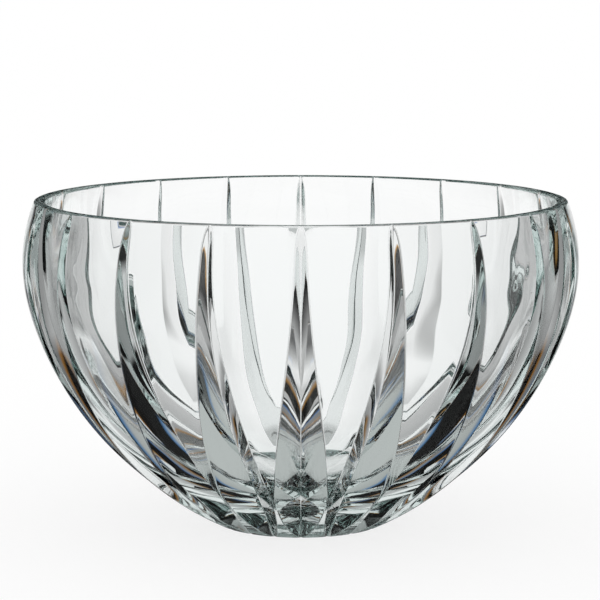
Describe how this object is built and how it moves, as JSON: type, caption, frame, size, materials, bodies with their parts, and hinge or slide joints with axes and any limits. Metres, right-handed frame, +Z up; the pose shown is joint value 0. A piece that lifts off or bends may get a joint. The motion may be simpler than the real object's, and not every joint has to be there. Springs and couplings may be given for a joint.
{
  "type": "crystal bowl",
  "caption": "Clear cut-crystal bowl with a heavy floor, a small flat foot and a round belly that turns in at the rim, cut all round with upright mitres; holds fruit, flowers or water.",
  "frame": {"origin": "middle of the flat foot, on the surface that the bowl stands on", "axes": "+Z up along the bowl's axis, out of the mouth; the pictured front faces -Y, with the middle of a cut on -Y and +X to the right"},
  "size_m": [0.2536, 0.2536, 0.15],
  "materials": {
    "crystal": "clear lead crystal, cut and polished all over"
  },
  "bodies": {
    "root": {"bowl": "crystal"}
  },
  "joints": []
}
